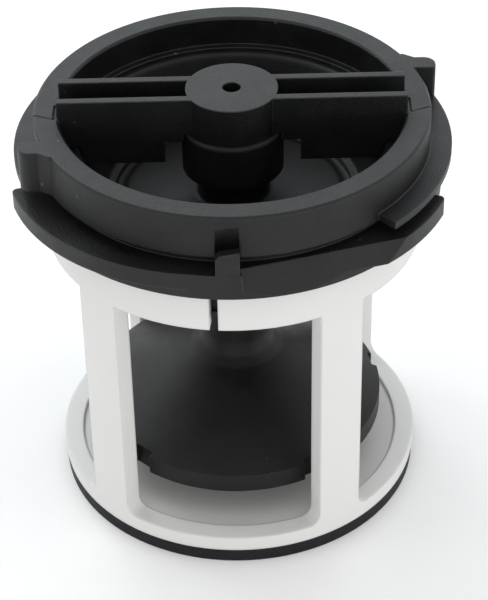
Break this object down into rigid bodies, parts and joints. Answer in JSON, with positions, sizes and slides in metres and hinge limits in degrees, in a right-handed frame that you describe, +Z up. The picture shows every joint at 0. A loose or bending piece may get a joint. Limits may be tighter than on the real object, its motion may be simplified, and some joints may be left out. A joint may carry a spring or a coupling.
{
  "type": "washing machine pump filter",
  "caption": "Drain pump filter: dark bayonet twist cap with a crossbar, bell disc on a central stem, white windowed cage that turns on the cap's neck, rubber seal at the foot.",
  "frame": {"origin": "centre of the seal's underside, where the part stands", "axes": "+Z up along the filter's axis to the cap, X along the crossbar, -Y to the front of the picture"},
  "size_m": [0.0688, 0.066, 0.0725],
  "materials": {
    "cap_plastic": "fine satin moulding",
    "core_plastic": "satin moulding",
    "cage_plastic": "smooth white moulding",
    "seal_rubber": "soft matt rubber"
  },
  "bodies": {
    "cage": {"filter_cage": "cage_plastic", "sealing_ring": "seal_rubber"},
    "core": {"handle_cap": "cap_plastic", "core_plug": "core_plastic"}
  },
  "joints": [
    {"name": "cap_swivel", "type": "hinge", "parent": "cage", "child": "core", "pos_m": [0, 0, 0.053], "axis": [0, 0, 1], "continuous": true}
  ]
}
